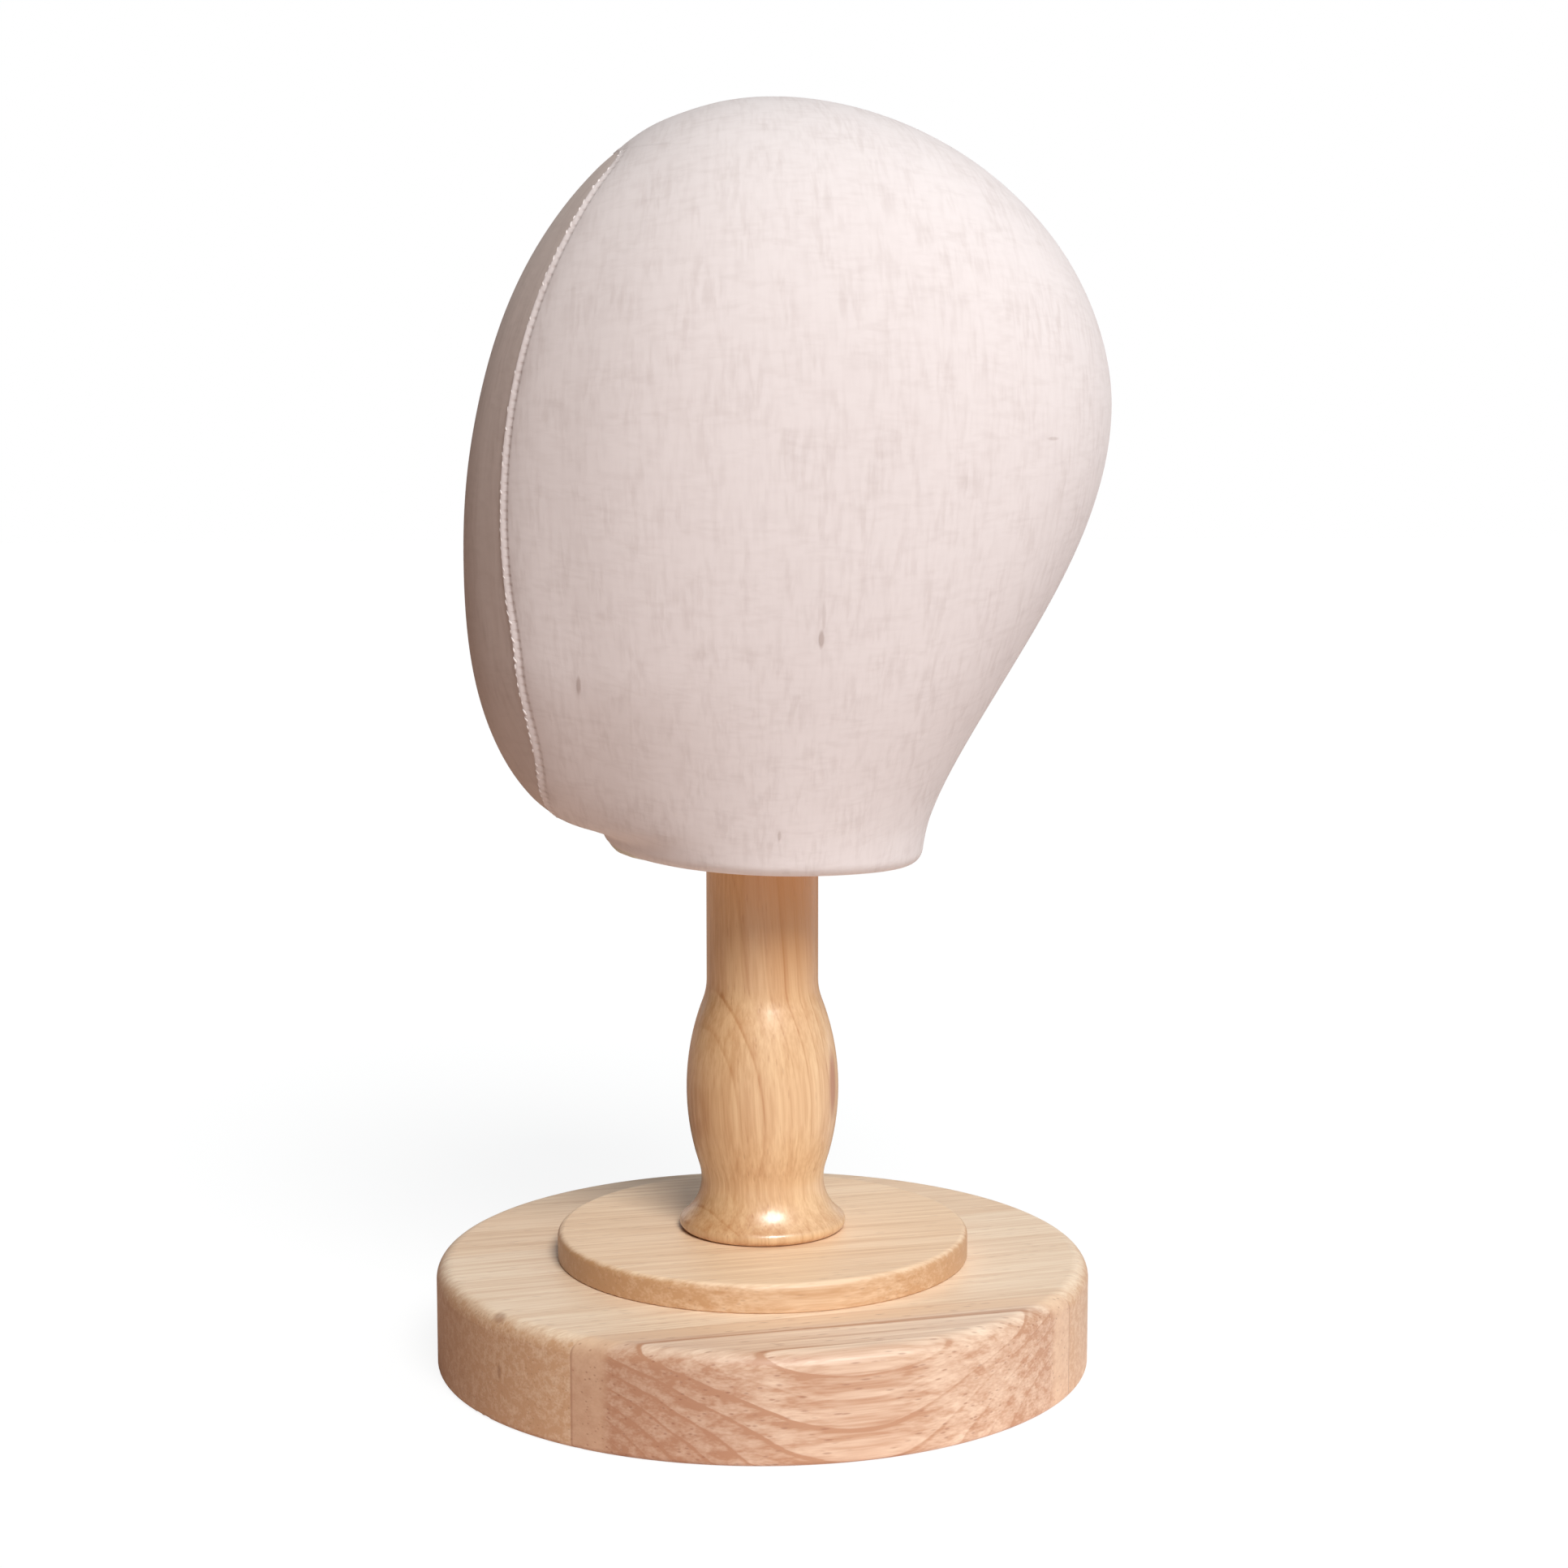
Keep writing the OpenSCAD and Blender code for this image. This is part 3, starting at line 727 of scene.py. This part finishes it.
def make_linen_weave():
    """Plain weave of uneven yarn: its height, and where warp or weft yarns are darker or thicker."""
    slow_waves = (70.0, 70.0, 0.0)
    yarn_sway = (0.0012, 0.0012, 0.0)
    cloud_patches = (45.0, 45.0, 0.0)
    tree, given, result = new_group(
        "linen weave",
        {"Cloth": "NodeSocketVector", "Yarn": "NodeSocketFloat"},
        ["Weave", "Warp", "Weft", "Cloud"],
    )
    cloth = given["Cloth"]
    sway = vectors(tree, "MULTIPLY", drift(tree, cloth, slow_waves, 2.0), yarn_sway)
    swayed = vectors(tree, "ADD", cloth, sway)
    place = put(tree, "ShaderNodeSeparateXYZ", {0: swayed}).outputs
    turn = reckon(tree, "DIVIDE", math.pi, given["Yarn"])
    warp = reckon(tree, "SINE", reckon(tree, "MULTIPLY", place["X"], turn))
    weft = reckon(tree, "SINE", reckon(tree, "MULTIPLY", place["Y"], turn))
    over = reckon(tree, "MULTIPLY_ADD", reckon(tree, "MULTIPLY", warp, weft), 0.5, 0.5)
    lifted = reckon(tree, "MULTIPLY", reckon(tree, "ABSOLUTE", warp), over)
    lowered = reckon(tree, "MULTIPLY", reckon(tree, "ABSOLUTE", weft), reckon(tree, "SUBTRACT", 1.0, over))
    tree.links.new(reckon(tree, "ADD", lifted, lowered), result["Weave"])
    for socket, yarns, patches in (
        ("Warp", (500.0, 95.0, 0.0), (110.0, 45.0, 0.0)),
        ("Weft", (140.0, 460.0, 0.0), (50.0, 120.0, 0.0)),
    ):
        uneven = ramp(tree, streaks(tree, swayed, yarns), 0.36, 0.7)
        patchy = ramp(tree, streaks(tree, cloth, patches), 0.36, 0.66, 0.2, 1.0)
        tree.links.new(reckon(tree, "MULTIPLY", uneven, patchy), result[socket])
    tree.links.new(streaks(tree, cloth, cloud_patches), result["Cloud"])
    return tree


linen_weave = make_linen_weave()
yarn = 0.00062


def linen(name, shift, slubs=(), stitched=False, pale=(0.80, 0.725, 0.72), dark=(0.54, 0.45, 0.43)):
    """Unbleached linen with uneven yarns, cut from a shifted place of the cloth, with a faint painted shade
    in the weave's hollows.
    Slubs are thick dark bits of yarn, each a centre, a reach and a share. Stitches pucker the cloth, with
    painted shade in the dents."""
    warp_tone = 0.26
    weft_tone = 0.16
    cloud_tone = 0.14
    weave_hollow_shade_tone = -0.012
    warp_height = 0.3
    weft_height = 0.2
    weave_height = 0.015
    near_seam_tone = 0.3
    pucker_shade_tone = 0.35
    pucker_height = -1.5
    yarn_depth = 0.0003
    material, tree, shader, place = new_material(name)
    cloth = vectors(tree, "ADD", put(tree, "ShaderNodeUVMap", uv_map="cloth").outputs[0], (*shift, 0.0))
    weave = put(tree, "ShaderNodeGroup", {"Cloth": cloth, "Yarn": yarn}, node_tree=linen_weave).outputs
    tone = reckon(tree, "MULTIPLY", weave["Weft"], weft_tone)
    tone = reckon(tree, "MULTIPLY_ADD", weave["Warp"], warp_tone, tone)
    tone = reckon(tree, "MULTIPLY_ADD", weave["Cloud"], cloud_tone, tone)
    # Painted shade: the hollows of the weave are made faintly darker.
    tone = reckon(tree, "MULTIPLY_ADD", weave["Weave"], weave_hollow_shade_tone, tone)
    height = reckon(tree, "MULTIPLY", weave["Weft"], weft_height)
    height = reckon(tree, "MULTIPLY_ADD", weave["Warp"], warp_height, height)
    height = reckon(tree, "MULTIPLY_ADD", weave["Weave"], weave_height, height)
    for centre, reach, share in slubs:
        slub = reckon(tree, "MULTIPLY", spot(tree, place, centre, reach), share)
        tone = reckon(tree, "ADD", tone, slub)
        height = reckon(tree, "ADD", height, slub)
    if stitched:
        from_seam = put(tree, "ShaderNodeAttribute", attribute_name="to_seam").outputs["Fac"]
        run = put(tree, "ShaderNodeAttribute", attribute_name="along_seam").outputs["Fac"]
        aside = reckon(tree, "ABSOLUTE", reckon(tree, "SUBTRACT", from_seam, dent_line))
        pulled = reckon(tree, "COSINE", reckon(tree, "MULTIPLY", run, 2 * math.pi / stitch_pitch))
        beside = ramp(tree, aside, 0.0002, 0.0014, 1.0, 0.0)
        dent = reckon(tree, "MULTIPLY", ramp(tree, pulled, 0.0, 1.0), beside)
        # The cloth is darker in cloudy patches close to the seam.
        near_seam_darkening = ramp(tree, from_seam, 0.001, 0.012, near_seam_tone, 0.0)
        tone = reckon(tree, "MULTIPLY_ADD", near_seam_darkening, weave["Cloud"], tone)
        # Painted shade: the stitch dents beside the seam are made darker as well as lower.
        tone = reckon(tree, "MULTIPLY_ADD", dent, pucker_shade_tone, tone)
        height = reckon(tree, "MULTIPLY_ADD", dent, pucker_height, height)
    colour = mixed(tree, tone, (*pale, 1.0), (*dark, 1.0))
    tree.links.new(colour, shader.inputs["Base Color"])
    shader.inputs["Roughness"].default_value = 0.9
    shader.inputs["Sheen Weight"].default_value = 0.1
    shader.inputs["Specular IOR Level"].default_value = 0.2
    bump = put(tree, "ShaderNodeBump", {"Height": height, "Strength": 0.25, "Distance": yarn_depth})
    tree.links.new(bump.outputs[0], shader.inputs["Normal"])
    return material


left_linen = linen(
    "left panel linen",
    shift=(0.0, 0.0),
    slubs=(
        ((0.070, 0.0114, 0.2333), (0.1, 0.0008, 0.0052), 0.35),
        ((0.070, 0.0108, 0.2266), (0.1, 0.0010, 0.0034), 1.0),
        ((0.050, -0.0559, 0.2127), (0.1, 0.0009, 0.0036), 0.8),
        ((0.060, 0.0773, 0.2816), (0.1, 0.0025, 0.0007), 0.5),
        ((0.049, 0.0008, 0.1691), (0.1, 0.0007, 0.0020), 0.5),
    ),
    stitched=True,
)
right_linen = linen("right panel linen", shift=(0.613, 0.27), stitched=True)
neck_rows = 12
chin_rows = 8
panel_rows = 120
crown_rows = 30
side_columns = 132
tip_steps = (0.00001, 0.000001, 0.0)
end_closeness = 2.5
side_heights = (
    between(neck_z, neck_z + front_edge, neck_rows, "low")
    + between(neck_z + front_edge, panel_foot_z, chin_rows)
    + between(panel_foot_z, panel_top_z, panel_rows)
    + between(panel_top_z, crown_z, crown_rows)
    + [crown_z - step for step in tip_steps]
)


def row_spots(columns):
    """Places of a row's points from -1 to 1, closer together at both ends."""
    turns = [2 * column / columns - 1 for column in range(columns + 1)]
    return [math.tanh(end_closeness * turn) / math.tanh(end_closeness) for turn in turns]


def side_angles(z):
    """Angles of a row's points from the face seam to the middle of the back."""
    start = seam_angle(z)
    return [start + (math.pi - start) * (1 + spot_at) / 2 for spot_at in row_spots(side_columns)]


def side_panel_lift(point, distance):
    """How far a side panel stands off the foam, with all its seams."""
    return side_lift(distance, point.z) + plain_seam_lift(point) + crown_lift(point)


def side_place(point):
    """A point's place on a side panel's flat cloth, laid on from the temple."""
    return laid_flat(point.x, point.y, point.z - temple_z)


left_mesh = cloth_panel(side_columns, side_heights, side_angles, side_panel_lift, side_place)
right_mesh = left_mesh.copy()
bmesh.ops.scale(right_mesh, vec=(-1, 1, 1), verts=right_mesh.verts)
bmesh.ops.reverse_faces(right_mesh, faces=right_mesh.faces)
for name, bm, node, material in (
    ("linen_side_left", left_mesh, "side_panel_left", left_linen),
    ("linen_side_right", right_mesh, "side_panel_right", right_linen),
):
    panel = thicken(add_piece(name, bm, material, "head"))
    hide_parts(node)


# Face panel: one tall oval of the same linen, stretched over the front of the foam.
# It is puffed up along the seam by the allowance under it. Its colour is the side linen made darker and
# browner, a painted shade of the side turned from the light.
face_puff = 0.0008
face_puff_w = 0.012
face_columns = 60


def face_angles(z):
    """Angles of a row's points from one seam to the other."""
    return [seam_angle(z) * spot_at for spot_at in row_spots(face_columns)]


def face_lift(point, distance):
    """How far the face panel is puffed up beside its seam."""
    return face_puff * (1 - s_curve(distance / face_puff_w)) * from_ends(point.z)


def face_place(point):
    """A point's place on the face panel's flat cloth, laid on from the middle of the face."""
    return laid_flat(-point.y, point.x, point.z - face_z)


face_heights = between(panel_foot_z, panel_top_z, panel_rows) + [panel_top_z]
face_mesh = cloth_panel(face_columns, face_heights, face_angles, face_lift, face_place)
# Painted shade: the face panel's linen is coloured darker and browner than the sides'.
face_linen_with_painted_shade = linen("face panel linen", (1.21, 0.11), pale=(0.66, 0.555, 0.515), dark=(0.45, 0.35, 0.31))
face_panel = thicken(add_piece("linen_face", face_mesh, face_linen_with_painted_shade, "head"))
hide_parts("face_panel")


# Topstitching: off-white thread in short stitches, which holds the folded allowance down
# beside the face seam, on both side panels.
stitch_length = 0.0022
stitch_slant = math.radians(16.0)
thread_d = 0.00075
thread_sink = 0.00022
stitch_lift = fold_rise + ridge_rise - thread_sink
bare_ends = 3
hidden_share = 0.12
pitch_scatter = 0.12
aside_scatter = 0.0002
slant_range = (-0.4, 2.2)
thickness_range = (0.65, 1.1)
length_range = (0.6, 1.1)
unevenness = random.Random(7)


def seam_place(run):
    """The point of the left seam at a length along it, and its direction."""
    for number, (first, second) in enumerate(zip(seam_runs, seam_runs[1:])):
        if first <= run <= second:
            share = (run - first) / max(second - first, 1e-9)
            low, high = seam_line[number], seam_line[number + 1]
            return low.lerp(high, share), (high - low).normalized()
    return seam_line[-1], (seam_line[-1] - seam_line[-2]).normalized()


def make_stitches():
    """Short uneven stitches along both seams, with a few that sink out of sight."""
    bm = bmesh.new()
    count = int(seam_runs[-1] / stitch_pitch)
    for number in range(bare_ends, count + 1 - bare_ends):
        if unevenness.random() < hidden_share:
            continue
        step = number + unevenness.uniform(-pitch_scatter, pitch_scatter)
        seam, tangent = seam_place(step * stitch_pitch)
        normal = outward(seam_angle(seam.z), seam.z)
        aside = tangent.cross(normal).normalized()
        if aside.y < 0 and abs(aside.y) > abs(aside.z):
            aside.negate()
        offset = ridge_line + unevenness.uniform(-aside_scatter, aside_scatter)
        place = seam + aside * offset + normal * stitch_lift * from_ends(seam.z)
        slant = Matrix.Rotation(stitch_slant * unevenness.uniform(*slant_range), 3, normal)
        turn = Matrix((slant @ tangent, slant @ aside, normal)).transposed().to_4x4()
        thick = thread_d * unevenness.uniform(*thickness_range)
        for side in (1, -1):
            half = stitch_length / 2 * unevenness.uniform(*length_range)
            size = Matrix.Diagonal((half, thick / 2, thick / 2, 1))
            flip = Matrix.Diagonal((side, 1, 1, 1))
            matrix = flip @ Matrix.Translation(place) @ turn @ size @ Matrix.Rotation(math.pi / 2, 4, "Y")
            bmesh.ops.create_uvsphere(bm, u_segments=6, v_segments=5, radius=1.0, matrix=matrix)
    bmesh.ops.recalc_face_normals(bm, faces=bm.faces)
    for face in bm.faces:
        face.smooth = True
    return bm


def thread():
    """Off-white thread with its strands faintly marked."""
    material, tree, shader, place = new_material("stitching thread")
    lay = streaks(tree, place, (2500.0, 2500.0, 900.0))
    colour = mixed(tree, lay, (0.86, 0.79, 0.78, 1.0), (0.76, 0.68, 0.66, 1.0))
    tree.links.new(colour, shader.inputs["Base Color"])
    shader.inputs["Roughness"].default_value = 0.8
    return material


stitches = add_piece("face_seam_stitches", make_stitches(), thread(), "head")


# Neck patch: a ring of linen under the neck, sewn to the side panels round its edge.
# The hem of its hole is folded in and lies round the stem.
patch_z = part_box("neck_patch")[0].z
stem_r = 0.017
hole_gap = 0.0005
hole_r = stem_r + hole_gap
hem_w = 0.004
hem_rise = 0.0005
hem_fade = 0.001
tuck_w = 0.0008
tuck_rise = 0.0009
flat_r = 0.024
patch_steps = 144
patch_rows = 40


def patch_point(angle, share):
    """A point of the patch at an angle, and at a share of the way from its hole to its edge."""
    rim = head_point(angle, neck_z)
    edge = rim.to_2d().length - seam_gap
    r = hole_r + (edge - hole_r) * share
    hem = hem_rise * (1 - s_curve((r - hole_r - hem_w) / hem_fade))
    tucked = tuck_rise * (2 - s_curve((r - hole_r) / tuck_w) - s_curve((edge - r) / tuck_w))
    leaning = (rim.z - neck_z) * s_curve((r - flat_r) / (edge - flat_r))
    x, y = rim.to_2d().normalized() * r
    return Vector((x, y, patch_z - hem + tucked + leaning))


def make_patch():
    """A ring of cloth made from a grid that is bent round to meet itself."""
    bm = bmesh.new()
    bmesh.ops.create_grid(bm, x_segments=patch_steps, y_segments=patch_rows, size=0.5)
    for vert in bm.verts:
        vert.co = patch_point(2 * math.pi * (vert.co.x + 0.5), vert.co.y + 0.5)
    bmesh.ops.remove_doubles(bm, verts=bm.verts, dist=same_point)
    bm.normal_update()
    if sum(face.normal.z for face in bm.faces) > 0:
        bmesh.ops.reverse_faces(bm, faces=bm.faces)
    cloth_map = bm.loops.layers.uv.new("cloth")
    for face in bm.faces:
        face.smooth = True
        for loop in face.loops:
            loop[cloth_map].uv = loop.vert.co.xy
    return bm


patch = thicken(add_piece("linen_neck_patch", make_patch(), linen("neck patch linen", (1.7, 0.4)), "head"))
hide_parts("neck_patch")


# Camera: at the photograph's place, a little in front of the head's left side and above the neck.
# It has a long lens and looks slightly down.
view_turn = math.radians(5.0)
view_distance = 0.870
view_height = 0.2871
view_pitch = 0.1253
view_aside = 0.0066
view_lens = 66.57
sensor_w = 36.0
to_camera = Vector((math.cos(view_turn), -math.sin(view_turn), 0))
to_right = Vector((math.sin(view_turn), math.cos(view_turn), 0))
look = -to_camera * math.cos(view_pitch) - Vector((0, 0, math.sin(view_pitch)))
camera = bpy.data.objects.new("camera", bpy.data.cameras.new("camera"))
camera.data.lens = view_lens
camera.data.sensor_width = sensor_w
camera.location = to_camera * view_distance + to_right * view_aside + Vector((0, 0, view_height))
camera.rotation_euler = look.to_track_quat("-Z", "Y").to_euler()
bpy.context.scene.collection.objects.link(camera)
bpy.context.scene.camera = camera


# Studio: a pale seamless floor and surround, white to the camera, with a warm dim light from the floor.
# A large soft key light stands high in front, a little to the right. A cool fill comes from the upper
# right, a weak one from the camera's side, and the backdrop shows in gloss alone.
key_aside = math.radians(20.0)
key_rise = math.radians(46.0)
key_softness = math.radians(26.0)
key_power = 2.9
key_colour = (1.0, 0.995, 0.97)
fill_aside = 0.7
fill_up = 0.714
fill_colour = (0.48, 0.55, 0.58, 1.0)
front_fill_colour = (0.32, 0.32, 0.33, 1.0)
backdrop_colour = (0.75, 0.70, 0.66, 1.0)
black = (0.0, 0.0, 0.0, 1.0)
white = (1.0, 1.0, 1.0, 1.0)
floor_half = 6.0
dim_floor = (0.56, 0.36, 0.27, 1.0)
bright_floor = (1.0, 0.87, 0.83, 1.0)
bright_ahead = 0.6
bright_aside = 0.8
shown_floor = (0.14, 0.14, 0.14, 1.0)
floor_glow = 0.89
level = to_camera * math.cos(key_aside) + to_right * math.sin(key_aside)
to_key = level * math.cos(key_rise) + Vector((0, 0, math.sin(key_rise)))
key = bpy.data.objects.new("key light", bpy.data.lights.new("key light", "SUN"))
key.data.energy = key_power
key.data.color = key_colour
key.data.angle = key_softness
key.rotation_euler = to_key.to_track_quat("Z", "Y").to_euler()
bpy.context.scene.collection.objects.link(key)

world = bpy.data.worlds.new("studio")
world.use_nodes = True
bpy.context.scene.world = world
surround = world.node_tree
way = put(surround, "ShaderNodeTexCoord").outputs["Generated"]
rays = put(surround, "ShaderNodeLightPath").outputs
to_fill = to_right * fill_aside + Vector((0, 0, fill_up))
open_side = ramp(surround, measure(surround, "DOT_PRODUCT", way, to_fill), 0.4, 0.9)
beside = mixed(surround, open_side, black, fill_colour)
near = ramp(surround, measure(surround, "DOT_PRODUCT", way, to_camera), 0.7, 1.0)
beside = mixed(surround, near, beside, front_fill_colour)
behind = ramp(surround, measure(surround, "DOT_PRODUCT", way, -to_camera), 0.5, 0.97)
backdrop = reckon(surround, "MULTIPLY", behind, rays["Is Glossy Ray"])
tint = mixed(surround, backdrop, beside, backdrop_colour)
sky = mixed(surround, rays["Is Camera Ray"], tint, white)
surround.links.new(sky, surround.nodes["Background"].inputs["Color"])

bm = bmesh.new()
bmesh.ops.create_grid(bm, x_segments=1, y_segments=1, size=floor_half)
floor_mesh = bpy.data.meshes.new("floor")
bm.to_mesh(floor_mesh)
bm.free()
floor_material, floor_tree, floor_shader, place = new_material("pale floor")
seen = put(floor_tree, "ShaderNodeLightPath").outputs["Is Camera Ray"]
toward = to_camera * bright_ahead + to_right * bright_aside
bright_side = ramp(floor_tree, measure(floor_tree, "DOT_PRODUCT", place, toward), -0.1, 0.15)
bounce = mixed(floor_tree, bright_side, dim_floor, bright_floor)
shown = mixed(floor_tree, seen, bounce, shown_floor)
floor_tree.links.new(shown, floor_shader.inputs["Base Color"])
glow = reckon(floor_tree, "MULTIPLY", seen, floor_glow)
floor_tree.links.new(glow, floor_shader.inputs["Emission Strength"])
floor_shader.inputs["Emission Color"].default_value = white
floor_shader.inputs["Roughness"].default_value = 1.0
floor_shader.inputs["Specular IOR Level"].default_value = 0.0
floor_mesh.materials.append(floor_material)
floor = bpy.data.objects.new("floor", floor_mesh)
bpy.context.scene.collection.objects.link(floor)
bpy.context.scene.view_settings.view_transform = "Standard"
